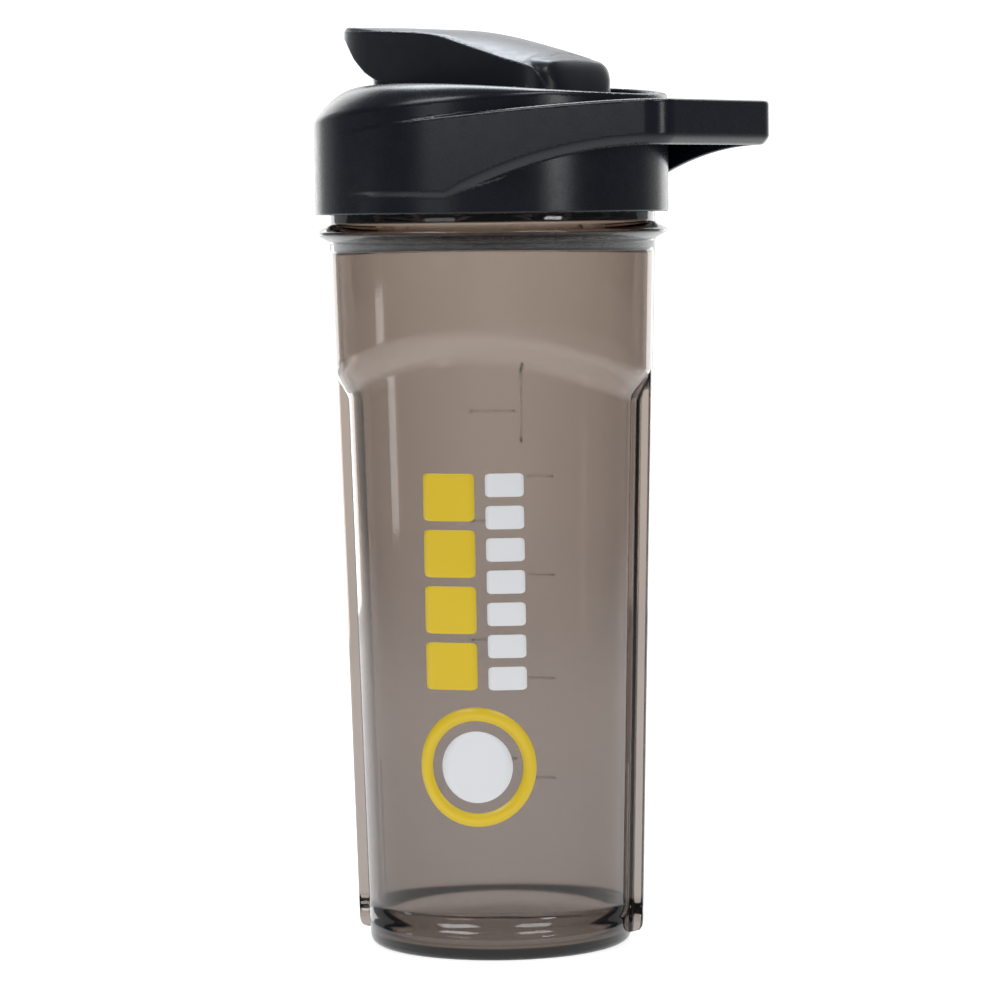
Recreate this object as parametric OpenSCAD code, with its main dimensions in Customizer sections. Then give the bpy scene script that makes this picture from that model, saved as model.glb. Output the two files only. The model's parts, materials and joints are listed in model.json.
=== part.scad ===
// Shaker bottle: a translucent cup with a screw lid, a carry loop and a hinged flip cap.
// Origin: centre of the underside of the cup. +Z is up, +X points at the carry loop.
// All sizes are in millimetres.

/* [Cup] */
// Height of the cup's rim
cup_h = 200; // [190:1:215]
// Radius of the cup body at its foot
base_r = 33.6; // [32:0.1:35]
// Radius of the cup body under the arched shoulder
waist_r = 37.5; // [36:0.1:38]
// Radius of the upper band just under the collar
band_r = 41.6; // [41.2:0.1:41.8]
// Thickness of the cup wall
cup_wall = 2; // [1.6:0.1:2.2]
// Thickness of the cup floor
cup_floor = 2.4; // [2:0.1:4]
// Height of the middle of the collar under the lid
collar_z = 182; // [180:0.5:183]
// Outer radius of the collar
collar_r = 44.8; // [43.6:0.1:45]

/* [Arch and ribs] */
// Height of the arched shoulder at the middle of the front and back
arch_z = 150.4; // [140:0.1:158]
// How much lower the shoulder is where it meets the side ribs
arch_drop = 11; // [6:0.5:14]
// Height of the sloped face of the shoulder
arch_slope = 6.6; // [3:0.1:8]
// Thickness of each side rib
rib_t = 3; // [2:0.1:5]
// Angle from the carry loop to the first side rib
rib_angle = 24; // [0:1:90]

/* [Thread] */
// Rise of the lid in one turn
thread_pitch = 5; // [4:0.5:5]
// Number of turns of the cup's thread
thread_turns = 1.25; // [1:0.05:1.4]
// Depth of both threads
thread_depth = 1.3; // [1:0.1:1.3]

/* [Lid] */
// Outer radius of the lid skirt
lid_r = 45; // [45:0.1:46]
// Thickness of the lid skirt
lid_wall = 1.6; // [1.4:0.1:1.6]
// Gap between the lid skirt and the middle of the collar
lid_gap = 5; // [4:0.5:6]
// Height of the rim of the lid's top on the spout side
top_z = 219; // [217:0.5:220]
// Height of the floor of the recess in the lid's top
deck_z = 204.4; // [204.2:0.1:206.4]
// Distance from the lid's axis to the centre of the recess
recess_x = 8; // [6:0.5:8]
// Radius of the recess in the lid's top
recess_r = 34.8; // [34:0.1:35]

/* [Carry loop] */
// Distance from the lid's axis to the outer face of the loop
loop_reach = 69; // [64:0.2:80]
// Half of the loop's width at its outer end
loop_half_w = 27.6; // [24:0.2:30]
// Thickness of the loop
loop_t = 3.6; // [3:0.1:5]
// Height of the loop's outer end
loop_h = 10.9; // [8:0.1:14]
// Height of the loop's top edge
loop_top_z = 213.7; // [211:0.1:214]

/* [Spout] */
// Distance from the lid's axis to the spout's axis
spout_x = 24; // [23:0.5:24]
// Outer radius of the spout
spout_r = 10.5; // [10:0.1:10.6]
// Radius of the spout's bore
spout_bore_r = 8.5; // [8:0.1:8.8]
// Height of the spout's lip
spout_z = 222.3; // [221.5:0.1:222.5]

/* [Flip cap] */
// Distance from the lid's axis to the hinge
hinge_x = 21; // [20.5:0.1:21]
// Height of the hinge
hinge_z = 214.5; // [214.4:0.1:214.6]
// Radius of the hinge pin
pin_r = 1.25; // [1:0.05:1.5]
// Thickness of the cap's top wall
cap_top_t = 2; // [1.6:0.1:2.4]
// Thickness of the cap's side walls
cap_side_t = 1.7; // [1.4:0.1:1.8]

/* [Strainer] */
// Number of spokes in the strainer
strainer_spokes = 8; // [6:1:12]
// Number of rings in the strainer, without its rim
strainer_rings = 3; // [3:1:5]

/* [Hidden] */
$fn = 96;

// The cup's outer envelope: the cone on which the upper band and the ribs' edges lie
env_base_r = 36.9;
function env_r(z) = env_base_r + (band_r - env_base_r) * z / collar_z;
function body_r(z) = base_r + (waist_r - base_r) * z / arch_z;
// The shoulder is an arc seen from the front, so it is cut by a cylinder that lies flat
arch_half_w = env_r(arch_z);
arch_r = (pow(arch_half_w, 2) + pow(arch_drop, 2)) / (2 * arch_drop);
arch_steps = 3;
foot_round = 2.4;
collar_root = 2.2;
collar_tip = 0.7;
rib_foot_z = 1.2;
ledge_z = cup_h - 8;
ledge_w = 1.4;
mouth_r = band_r - cup_wall + 0.2;
gate_r = 4;
gate_depth = 0.6;

// Threads
thread_z = collar_z + 8;
thread_sides = 40;
root_half = 0.9;
crest_half = 0.4;
thread_sink = 0.4;
thread_fade = 30;
lid_bore_r = lid_r - lid_wall;

// Lid
lid_z = collar_z + lid_gap;
seat_z = cup_h + 2;
seat_inner_r = 37.5;
deck_t = 2;
crease_z = 213;
crease_tilt = 4.8;
rim_r = recess_r + 2.5;
rim_tilt = 1.7;
vent_r = 1.1;
vent_x = 4;
vent_y = 9;
ear_gap = 0.4;
ear_t = 3;
ear_r = 3.4;

// Belt around the lid, which leaves it as the carry loop
belt_r = 45.6;
belt_x = 0.7;
belt_low_z = 189.8;
belt_high_z = 208;
belt_flat = 3.5;
belt_rise = 50;
belt_peak = 62;
belt_run = 72;
loop_corner_r = 7;

// Flip cap: half widths along its length, and the line of its top
cap_width = [
  [-44.6, 0], [-44.2, 2.2], [-43, 4.3], [-40, 7.2], [-36, 9.6], [-30, 12], [-22, 14],
  [-12, 15.3], [-4, 15.6], [14, 16.9], [21, 16.8], [25, 16.5], [27.5, 15.4], [29.2, 13.2],
  [30.1, 10], [30.4, 6], [30.5, 0]
];
cap_line = [
  [-44.6, 235], [-40, 235.3], [-30, 234.8], [-20, 234.3], [-12, 233.6], [0, 232.2],
  [10, 230.2], [18, 228], [22, 226.8], [25, 225.5], [27, 224.2], [28.3, 222.4],
  [29.3, 219.6], [29.9, 216.5]
];
cap_low_z = 209.2;
cap_front_x = -22.6;
cap_hollow_front_x = -34;
cap_barrel_r = 3.6;
pin_clear = 0.07;
lip_low_z = 231.8;
crown_r = 44;
crown_tilt = 10;
crown_z = 234;

// Plug
plug_r = 8.2;
plug_tip_r = 7.6;
plug_depth = 4;
plug_flange_r = 9.8;
plug_flange_t = 1.6;
plug_gap = 0.3;
stem_r = 3;
stem_h = 5;
boss_r = 6;

// Gasket and strainer
gasket_gap = 0.12;
gasket_inner_r = 38.5;
gasket_outer_r = 42.5;
strainer_t = 1.8;
strainer_rim_w = 3.2;
strainer_ring_w = 1.4;
strainer_spoke_w = 1.6;
strainer_gap = 0.3;

cut = 0.1;

function between(low, high, value) = max(low, min(high, value));
function ring_point(angle, r, z) = [r * cos(angle), r * sin(angle), z];
function arc(cx, cy, r, a0, a1, n) = [
  for (i = [0:n]) [cx + r * cos(a0 + (a1 - a0) * i / n), cy + r * sin(a0 + (a1 - a0) * i / n)]
];

// A screw thread swept along a helix. side is 1 for a thread that stands out of a neck
// and -1 for one that stands into a bore
module thread(wall_r, side, z0, turns) {
  count = floor(thread_sides * turns);
  sweep = 360 * turns;
  points = [
    for (i = [0:count])
      let (
        angle = sweep * i / count,
        fade = min(1, angle / thread_fade, (sweep - angle) / thread_fade),
        root = wall_r - side * thread_sink,
        crest = wall_r + side * (thread_depth * fade - thread_sink * (1 - fade) / 2),
        z = z0 + thread_pitch * angle / 360
      )
      each [
        ring_point(angle, root, z - root_half),
        ring_point(angle, crest, z - crest_half),
        ring_point(angle, crest, z + crest_half),
        ring_point(angle, root, z + root_half)
      ]
  ];
  walls = [
    for (i = [0:count - 1])
      for (k = [0:3])
        let (a = 4 * i + k, b = 4 * i + (k + 1) % 4)
        side > 0 ? [a, b, b + 4, a + 4] : [a + 4, b + 4, b, a]
  ];
  ends = side > 0
    ? [[3, 2, 1, 0], [4 * count, 4 * count + 1, 4 * count + 2, 4 * count + 3]]
    : [[0, 1, 2, 3], [4 * count + 3, 4 * count + 2, 4 * count + 1, 4 * count]];
  polyhedron(points, concat(walls, ends), convexity = 8);
}

// Cup body: a plain cone with a rounded foot
module cup_body() {
  rotate_extrude()
    polygon(concat(
      [[0, 0]],
      arc(base_r - foot_round, foot_round, foot_round, -90, 0, 8),
      [[body_r(arch_z), arch_z], [body_r(cup_h), cup_h - ledge_w], [0, cup_h - ledge_w]]
    ));
}

// The envelope cone, from the foot to under the collar
module cup_envelope() {
  cylinder(h = collar_z, r1 = env_base_r, r2 = band_r);
}

// The upper band: cones of growing radius, each cut a little higher by the arch that lies
// flat across the cup, so the shoulder slopes out from the body to the band
module upper_band() {
  for (i = [1:arch_steps]) {
    share = i / arch_steps;
    low_r = base_r + (env_base_r - base_r) * share;
    high_r = body_r(collar_z) + (band_r - body_r(collar_z)) * share;
    difference() {
      cylinder(h = collar_z - collar_root, r1 = low_r, r2 = high_r);
      rotate([0, 0, rib_angle])
        translate([0, 0, arch_z - arch_r + arch_slope * (share - 1 / arch_steps)])
          rotate([90, 0, 0])
            cylinder(h = 3 * band_r, r = arch_r, center = true);
    }
  }
}

// Two ribs that run down the sides from the band
module ribs() {
  intersection() {
    translate([0, 0, rib_foot_z])
      cup_envelope();
    rotate([0, 0, rib_angle])
      translate([-2 * band_r, -rib_t / 2, rib_foot_z])
        cube([4 * band_r, rib_t, arch_z - rib_foot_z]);
  }
}

module neck_and_collar() {
  rotate_extrude()
    polygon([
      [mouth_r - cup_wall, arch_z + arch_slope], [band_r - 1, arch_z + arch_slope],
      [band_r, collar_z - collar_root], [collar_r, collar_z - collar_tip],
      [collar_r, collar_z + collar_tip], [band_r, collar_z + collar_root],
      [band_r, cup_h - 1], [band_r - 0.6, cup_h], [mouth_r - cup_wall, cup_h]
    ]);
}

// The space inside the cup, with the ledge for the strainer and the gate mark in the floor
module cup_inside() {
  inner_foot = foot_round + 1;
  rotate_extrude()
    polygon(concat(
      [[0, cup_floor]],
      arc(body_r(0) - cup_wall - inner_foot, cup_floor + inner_foot, inner_foot, -90, 0, 6),
      [
        [body_r(arch_z) - cup_wall, arch_z],
        [env_r(arch_z) - cup_wall, arch_z + arch_slope],
        [mouth_r - ledge_w, collar_z], [mouth_r - ledge_w, ledge_z], [mouth_r, ledge_z],
        [mouth_r, cup_h + cut], [0, cup_h + cut]
      ]
    ));
  translate([0, 0, cup_floor - gate_depth])
    cylinder(h = gate_depth + cut, r1 = 1, r2 = gate_r);
}

module cup() {
  color([0.35, 0.32, 0.3, 0.75])
    difference() {
      union() {
        cup_body();
        upper_band();
        ribs();
        neck_and_collar();
        thread(band_r, 1, thread_z, thread_turns);
      }
      cup_inside();
    }
}

// Mixing grid that rests on the ledge in the cup's mouth
module strainer() {
  outer = mouth_r - strainer_gap;
  inner = outer - strainer_rim_w;
  pitch = inner / (strainer_rings + 0.5);
  color([0.12, 0.12, 0.13])
    translate([0, 0, ledge_z]) {
      difference() {
        cylinder(h = strainer_t, r = outer);
        translate([0, 0, -cut])
          cylinder(h = strainer_t + 2 * cut, r = inner);
      }
      for (i = [1:strainer_rings])
        difference() {
          cylinder(h = strainer_t, r = pitch * i);
          translate([0, 0, -cut])
            cylinder(h = strainer_t + 2 * cut, r = pitch * i - strainer_ring_w);
        }
      for (i = [0:strainer_spokes - 1])
        rotate([0, 0, 360 * i / strainer_spokes])
          translate([pitch - strainer_ring_w / 2, -strainer_spoke_w / 2, 0])
            cube([inner - pitch + strainer_ring_w, strainer_spoke_w, strainer_t]);
    }
}

// Soft ring between the cup's rim and the lid
module lid_gasket() {
  low = cup_h + gasket_gap;
  high = seat_z - gasket_gap;
  round = (high - low) / 2;
  color([0.2, 0.2, 0.21])
    rotate_extrude()
      polygon(concat(
        arc(gasket_outer_r - round, low + round, round, -90, 90, 8),
        arc(gasket_inner_r + round, low + round, round, 90, 270, 8)
      ));
}

// Plan of the belt: a circle round the lid that runs out straight to the loop's corners
function belt_plan(inset) =
  let (
    big = belt_r - inset,
    small = loop_corner_r - inset,
    ex = loop_reach - loop_corner_r,
    ey = loop_half_w - loop_corner_r,
    gamma = atan2(ey, ex - belt_x) + acos((big - small) / norm([ex - belt_x, ey]))
  )
  concat(
    arc(belt_x, 0, big, gamma, 360 - gamma, 64),
    arc(ex, -ey, small, -gamma, 0, 8),
    arc(ex, ey, small, 0, gamma, 8)
  );

// Side view of the belt: its lower edge runs level round the spout side and then rises
// along the arms, and its upper edge rises slowly to the loop
function belt_bottom(x) =
  loop_top_z - loop_h - (loop_top_z - loop_h - belt_low_z)
  * pow(between(0, 1, (loop_reach - belt_flat - x) / belt_rise), 2);
function belt_top(x) =
  loop_top_z - (loop_top_z - belt_high_z) * pow(between(0, 1.35, (belt_peak - x) / belt_run), 1.4);

module belt() {
  steps = 24;
  x0 = -belt_r;
  dx = (loop_reach - x0 + 1) / steps;
  intersection() {
    linear_extrude(height = top_z)
      difference() {
        polygon(belt_plan(0));
        polygon(belt_plan(loop_t));
      }
    rotate([90, 0, 0])
      linear_extrude(height = 2 * belt_r + 2, center = true)
        polygon(concat(
          [for (i = [0:steps]) [x0 + dx * i, belt_bottom(x0 + dx * i)]],
          [for (i = [steps:-1:0]) [x0 + dx * i, belt_top(x0 + dx * i)]]
        ));
  }
}

// Outer form of the lid: a straight skirt under a shoulder that slopes in on the spout side
module lid_form() {
  low = belt_high_z - 1;
  translate([0, 0, lid_z])
    cylinder(h = low - lid_z, r = lid_r);
  hull() {
    intersection() {
      translate([0, 0, low])
        cylinder(h = top_z - low, r = lid_r);
      translate([0, 0, crease_z])
        rotate([0, -crease_tilt, 0])
          translate([-2 * lid_r, -2 * lid_r, -4 * lid_r])
            cube(4 * lid_r);
    }
    translate([0, 0, top_z - 1])
      rotate([0, rim_tilt, 0])
        translate([recess_x, 0, 0])
          cylinder(h = 0.01, r = rim_r);
  }
}

// Ears on the recess floor that carry the hinge pin
module ears() {
  inner = lookup(hinge_x, cap_width) + ear_gap;
  for (side = [-1, 1])
    translate([hinge_x, side * (inner + ear_t / 2), hinge_z])
      rotate([90, 0, 0]) {
        cylinder(h = ear_t, r = ear_r, center = true);
        translate([-ear_r, deck_z - hinge_z - cut, -ear_t / 2])
          cube([2 * ear_r, hinge_z - deck_z + cut, ear_t]);
      }
}

module lid() {
  color([0.04, 0.045, 0.06])
    difference() {
      union() {
        difference() {
          union() {
            lid_form();
            belt();
          }
          translate([recess_x, 0, deck_z])
            cylinder(h = top_z, r = recess_r);
          translate([0, 0, lid_z - cut])
            cylinder(h = seat_z - lid_z + cut, r = lid_bore_r);
          translate([0, 0, seat_z - cut])
            cylinder(h = deck_z - deck_t - seat_z + cut, r = seat_inner_r);
        }
        ears();
        translate([-spout_x, 0, deck_z - deck_t])
          cylinder(h = spout_z - deck_z + deck_t, r = spout_r);
        thread(lid_bore_r, -1, thread_z - thread_pitch / 2, 1);
      }
      translate([-spout_x, 0, deck_z - deck_t - cut])
        cylinder(h = spout_z, r = spout_bore_r);
      translate([vent_x, vent_y, deck_z - deck_t - cut])
        cylinder(h = deck_t + 2 * cut, r = vent_r);
      translate([hinge_x, 0, hinge_z])
        rotate([90, 0, 0])
          cylinder(h = 2 * recess_r, r = pin_r, center = true);
    }
}

module hinge_pin() {
  half = lookup(hinge_x, cap_width) + ear_gap + ear_t;
  color([0.6, 0.6, 0.62])
    translate([hinge_x, 0, hinge_z])
      rotate([90, 0, 0])
        cylinder(h = 2 * half, r = pin_r, center = true);
}

// Plan of the cap, inset from its outline
module cap_plan(inset, x_low, x_high) {
  side = [
    for (p = cap_width)
      if (p[0] > x_low && p[0] < x_high && p[1] > inset) [p[0], p[1] - inset]
  ];
  ends = [
    [x_low, max(0, lookup(x_low, cap_width) - inset)],
    [x_high, max(0, lookup(x_high, cap_width) - inset)]
  ];
  half = concat([ends[0]], side, [ends[1]]);
  polygon(concat(half, [for (i = [len(half) - 1:-1:0]) [half[i][0], -half[i][1]]]));
}

// Side view of the cap: its top line above, and below it the skirt and the thumb lip
module cap_side(inset) {
  polygon(concat(
    [for (p = cap_line) [p[0], p[1] - inset]],
    [
      [29.6, cap_low_z + 4], [26.4, cap_low_z], [cap_front_x, cap_low_z],
      [cap_front_x, spout_z - 2.6], [-26, 220.3], [-31, 222.6], [-35, 225.6],
      [-38, 228.8], [-41, 231], [-44.6, lip_low_z]
    ]
  ));
}

module cap_form() {
  intersection() {
    translate([0, 0, cap_low_z])
      linear_extrude(height = 40)
        cap_plan(0, cap_width[0][0], cap_width[len(cap_width) - 1][0]);
    rotate([90, 0, 0])
      linear_extrude(height = 40, center = true)
        cap_side(0);
    // The top is crowned across its width
    translate([0, 0, crown_z - crown_r])
      rotate([0, 90 + crown_tilt, 0])
        cylinder(h = 140, r = crown_r, center = true);
  }
}

module cap_hollow() {
  rear = hinge_x + 5.6;
  intersection() {
    translate([0, 0, cap_low_z - cut])
      linear_extrude(height = 40)
        cap_plan(cap_side_t, cap_hollow_front_x, rear);
    rotate([90, 0, 0])
      linear_extrude(height = 40, center = true)
        polygon(concat(
          [for (p = cap_line) if (p[0] > cap_hollow_front_x && p[0] < rear) [p[0], p[1] - cap_top_t]],
          [[rear, 222], [rear, cap_low_z - 1], [cap_hollow_front_x, cap_low_z - 1]]
        ));
    translate([0, 0, crown_z - crown_r])
      rotate([0, 90 + crown_tilt, 0])
        cylinder(h = 140, r = crown_r - cap_top_t, center = true);
  }
}

module flip_cap() {
  barrel = 2 * lookup(hinge_x, cap_width);
  color([0.06, 0.065, 0.08])
    difference() {
      union() {
        difference() {
          cap_form();
          cap_hollow();
        }
        translate([-spout_x, 0, spout_z + plug_gap + plug_flange_t])
          cylinder(h = 8, r = boss_r);
        translate([hinge_x, 0, hinge_z])
          rotate([90, 0, 0])
            cylinder(h = barrel - 1, r = cap_barrel_r, center = true);
      }
      translate([-spout_x, 0, spout_z])
        cylinder(h = plug_gap + plug_flange_t + stem_h, r = stem_r);
      translate([hinge_x, 0, hinge_z])
        rotate([90, 0, 0])
          cylinder(h = barrel + 2, r = pin_r + pin_clear, center = true);
    }
}

// Soft plug: a tapered stopper, a flange over the spout's lip and a stem held by the cap
module spout_plug() {
  color([0.2, 0.2, 0.21])
    translate([-spout_x, 0, spout_z]) {
      translate([0, 0, -plug_depth])
        cylinder(h = plug_depth + plug_gap, r1 = plug_tip_r, r2 = plug_r);
      translate([0, 0, plug_gap])
        cylinder(h = plug_flange_t, r = plug_flange_r);
      translate([0, 0, plug_gap])
        cylinder(h = plug_flange_t + stem_h - cut, r = stem_r);
    }
}

cup();
strainer();
lid_gasket();
lid();
hinge_pin();
flip_cap();
spout_plug();
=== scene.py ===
"""Looks of the shaker bottle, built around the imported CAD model.

Lengths in the shape functions are millimetres, as in the part's source; MM turns them into metres.
+Z is up, +X points at the carry loop, and the origin is the centre of the cup's underside.
"""
import json
import math
from itertools import product

import bpy
import numpy as np
from mathutils import Matrix, Vector


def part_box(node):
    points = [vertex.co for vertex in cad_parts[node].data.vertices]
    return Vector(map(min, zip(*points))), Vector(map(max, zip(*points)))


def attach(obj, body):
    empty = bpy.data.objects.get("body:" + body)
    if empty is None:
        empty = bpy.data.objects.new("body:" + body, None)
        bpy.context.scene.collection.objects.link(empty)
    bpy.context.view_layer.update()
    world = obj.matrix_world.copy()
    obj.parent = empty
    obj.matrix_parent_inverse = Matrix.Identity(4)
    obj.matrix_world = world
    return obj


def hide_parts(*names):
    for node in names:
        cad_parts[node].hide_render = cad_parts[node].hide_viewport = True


MM = 0.001

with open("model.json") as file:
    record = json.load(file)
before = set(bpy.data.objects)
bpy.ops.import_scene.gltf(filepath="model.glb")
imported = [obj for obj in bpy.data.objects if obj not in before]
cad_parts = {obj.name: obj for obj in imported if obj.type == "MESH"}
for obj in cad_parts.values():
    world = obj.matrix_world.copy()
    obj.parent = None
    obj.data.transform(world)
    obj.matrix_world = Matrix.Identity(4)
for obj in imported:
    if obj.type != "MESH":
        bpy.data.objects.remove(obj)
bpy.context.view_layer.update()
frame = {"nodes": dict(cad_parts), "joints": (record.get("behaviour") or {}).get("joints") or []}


# ---------------------------------------------------------------- sizes, from the frame
def box_mm(node):
    low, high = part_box(node)
    return np.array(low) / MM, np.array(high) / MM


_, cup_high = box_mm("cup")
lid_low, lid_high = box_mm("lid")
cap_low, cap_high = box_mm("flip_cap")
pin_low, pin_high = box_mm("hinge_pin")
joints = {j["name"]: j for j in frame["joints"]}

CUP_H = cup_high[2]
BASE_R = 33.6
WAIST_R = 37.5
BAND_R = 41.6
ENV_BASE_R = 36.9
WALL = 2.0
FLOOR = 2.4
ARCH_Z = 150.4
ARCH_DROP = 11.0
ARCH_SLOPE = 6.6
RIB_T = 3.0
RIB_ANGLE = math.radians(24)
COLLAR_Z = 182.0
COLLAR_R = 44.8
LEDGE_Z = CUP_H - 8
LEDGE_R = 38.4
MOUTH_R = 39.8
PITCH = 5.0
THREAD_Z = COLLAR_Z + 8
THREAD_DEPTH = 1.3

LID_Z = lid_low[2]
LID_R = 45.0
LID_BORE_R = 43.4
SEAT_Z = CUP_H + 2
SEAT_R = 37.5
DECK_Z = 204.4
DECK_T = 2.0
RECESS_X = 8.0
RECESS_R = 34.8
RIM_R = 36.8
RIM_Z = 219.0
SPOUT_X = -24.0
SPOUT_R = 10.5
SPOUT_BORE_R = 8.5
SPOUT_Z = 222.3
HINGE_X, _, HINGE_Z = np.array(joints["cap_flip"]["pos_m"]) / MM
PIN_R = (pin_high[2] - pin_low[2]) / 2
PIN_HALF = pin_high[1]
LOOP_REACH = lid_high[0]
LOOP_HALF_W = 27.6
LOOP_T = 3.6
LOOP_CORNER_R = 7.0
EAR_R = 3.4

PRINT_LIFT = 0.03
PRINT_T = 0.05
MARK_T = 0.5
MARK_HALF_W = 0.25
PRINT_LOW, PRINT_HIGH = 68.5, 122.5
PRINT_GAP = 2.2
EMBLEM = (1.3, 49.2)
ML_LINES = (37.5, 63.9, 91.2, 117.2)
OZ_LINES = (42.3, 74.0, 105.5, 134.4)


# ---------------------------------------------------------------- shape helpers
def round_max(a, b, radius):
    """The intersection of two solids' distances, with the edge between them rounded."""
    both = np.hypot(np.maximum(a + radius, 0), np.maximum(b + radius, 0))
    return np.minimum(np.maximum(a, b), -radius) + both


def round_min(a, b, radius):
    """The union of two solids' distances, with the corner between them filled."""
    return -round_max(-a, -b, radius)


def carve(solid, hole, radius):
    """A solid with a hole cut out of it, and the hole's rim rounded."""
    return round_max(solid, -hole, radius)


def smooth_line(points):
    """A function of one value that runs smoothly through (x, y) points, without overshoot."""
    px, py = np.array(points, float).T
    slope = np.diff(py) / np.diff(px)
    inner = np.where(slope[1:] * slope[:-1] > 0, (slope[1:] + slope[:-1]) / 2, 0)
    tangent = np.concatenate([slope[:1], inner, slope[-1:]])

    def at(x):
        x = np.clip(x, px[0], px[-1])
        i = np.clip(np.searchsorted(px, x) - 1, 0, len(px) - 2)
        h = px[i + 1] - px[i]
        t = (x - px[i]) / h
        return (
            py[i] * (1 + 2 * t) * (1 - t) ** 2
            + py[i + 1] * t * t * (3 - 2 * t)
            + tangent[i] * h * t * (1 - t) ** 2
            - tangent[i + 1] * h * t * t * (1 - t)
        )

    return at


def polygon_distance(outline, a, b):
    """Signed distance, negative inside, from the points (a, b) to a closed outline."""
    a, b = np.broadcast_arrays(a, b)
    nearest = np.full(a.shape, 1e9)
    sign = np.ones(a.shape)
    for (x0, y0), (x1, y1) in zip(outline, np.roll(outline, -1, axis=0)):
        dx, dy = x1 - x0, y1 - y0
        t = np.clip(((a - x0) * dx + (b - y0) * dy) / max(dx * dx + dy * dy, 1e-12), 0, 1)
        nearest = np.minimum(nearest, (a - x0 - t * dx) ** 2 + (b - y0 - t * dy) ** 2)
        crosses = (y0 > b) != (y1 > b)
        side = (b - y0) * dx - (a - x0) * dy
        sign = np.where(crosses & ((side < 0) == (dy > 0)), -sign, sign)
    return sign * np.sqrt(nearest)


def new_piece(name, points, faces):
    """A mesh object in metres from points in millimetres, shaded smooth."""
    mesh = bpy.data.meshes.new(name)
    mesh.from_pydata(np.asarray(points) * MM, [], faces)
    mesh.validate()
    mesh.shade_smooth()
    piece = bpy.data.objects.new(name, mesh)
    bpy.context.scene.collection.objects.link(piece)
    return piece


def field_slope(field, points, reach=0.02):
    """Gradient of a field at points."""
    slope = np.zeros_like(points)
    for axis in range(3):
        step = np.zeros(3)
        step[axis] = reach
        ahead, behind = (points + step).T, (points - step).T
        slope[:, axis] = (field(*ahead) - field(*behind)) / (2 * reach)
    return slope


def pull_to_surface(field, points, limit):
    """Moves points onto the surface where the field is zero."""
    for _ in range(3):
        slope = field_slope(field, points)
        square = np.maximum((slope ** 2).sum(1), 0.05)
        shift = -(field(*points.T) / square)[:, None] * slope
        length = np.linalg.norm(shift, axis=1, keepdims=True)
        points = points + shift * np.minimum(1, limit / np.maximum(length, 1e-9))
    return points


def net_faces(inside, index):
    """Quads between the cells on both sides of each grid edge that crosses the surface."""
    faces = []
    for axis in range(3):
        one, two = [(1, 2), (2, 0), (0, 1)][axis]
        ahead = np.roll(inside, -1, axis)
        crosses = inside != ahead
        cut = [slice(None)] * 3
        cut[axis] = slice(-1, None)
        crosses[tuple(cut)] = False
        at = np.argwhere(crosses)
        at = at[(at[:, one] > 0) & (at[:, two] > 0)]
        quad = []
        for back_one, back_two in ((1, 1), (0, 1), (0, 0), (1, 0)):
            cell = at.copy()
            cell[:, one] -= back_one
            cell[:, two] -= back_two
            quad.append(index[tuple(cell.T)])
        quad = np.stack(quad, 1)
        outward = inside[tuple(at.T)]
        faces.append(np.where(outward[:, None], quad, quad[:, ::-1]))
    return np.concatenate(faces)


def net_points(value, active, low, step):
    """One point in each cell that the surface crosses: the mean of its edges' crossings."""
    cell = np.argwhere(active)
    total, hits = np.zeros(cell.shape), np.zeros(len(cell))
    for axis, a, b in product(range(3), (0, 1), (0, 1)):
        near = np.insert(np.array([a, b]), axis, 0)
        far = np.insert(np.array([a, b]), axis, 1)
        v0 = value[tuple((cell + near).T)]
        v1 = value[tuple((cell + far).T)]
        crosses = (v0 < 0) != (v1 < 0)
        t = v0 / np.where(crosses, v0 - v1, 1)
        place = np.repeat(near[None].astype(float), len(cell), 0)
        place[:, axis] = t
        total += np.where(crosses[:, None], place, 0)
        hits += crosses
    return low + step * (cell + total / hits[:, None])


def solid_from_field(name, field, low, high, step, keep):
    """A closed mesh of the solid where the field is negative. keep is the share of faces left."""
    low, high = np.array(low, float), np.array(high, float)
    axes = [np.arange(a, b + step, step) for a, b in zip(low, high)]
    value = field(*np.meshgrid(*axes, indexing="ij", sparse=True))
    inside = value < 0
    corners = sum(
        inside[tuple(slice(k, n - 1 + k) for k, n in zip(offset, inside.shape))].astype(np.int8)
        for offset in product((0, 1), repeat=3)
    )
    active = (corners > 0) & (corners < 8)
    index = np.full(active.shape, -1)
    index[active] = np.arange(active.sum())
    points = pull_to_surface(field, net_points(value, active, low, step), step / 2)
    piece = new_piece(name, points, net_faces(inside, index))
    thin = piece.modifiers.new("thin", "DECIMATE")
    thin.ratio = keep
    graph = bpy.context.evaluated_depsgraph_get()
    mesh = bpy.data.meshes.new_from_object(piece.evaluated_get(graph))
    piece.modifiers.clear()
    piece.data = mesh
    points = np.zeros(len(mesh.vertices) * 3)
    mesh.vertices.foreach_get("co", points)
    points = pull_to_surface(field, points.reshape(-1, 3) / MM, step / 2)
    mesh.vertices.foreach_set("co", (points * MM).ravel())
    slope = field_slope(field, points)
    slope /= np.maximum(np.linalg.norm(slope, axis=1, keepdims=True), 1e-9)
    mesh.shade_smooth()
    mesh.normals_split_custom_set_from_vertices(slope)
    return piece


def lathe(name, outline, x=0.0, y=0.0, sides=96):
    """A closed solid turned from (radius, z) points. The first and last lie on the axis."""
    turns = np.arange(sides) * 2 * math.pi / sides
    rings = [(r, z) for r, z in outline[1:-1]]
    points = [(x, y, outline[0][1]), (x, y, outline[-1][1])]
    points += [(x + r * math.cos(t), y + r * math.sin(t), z) for r, z in rings for t in turns]
    faces = []
    for i in range(sides):
        j = (i + 1) % sides
        faces.append((0, 2 + j, 2 + i))
        last = 2 + (len(rings) - 1) * sides
        faces.append((1, last + i, last + j))
        for row in range(len(rings) - 1):
            a = 2 + row * sides
            faces.append((a + i, a + j, a + sides + j, a + sides + i))
    return new_piece(name, points, faces)


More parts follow.
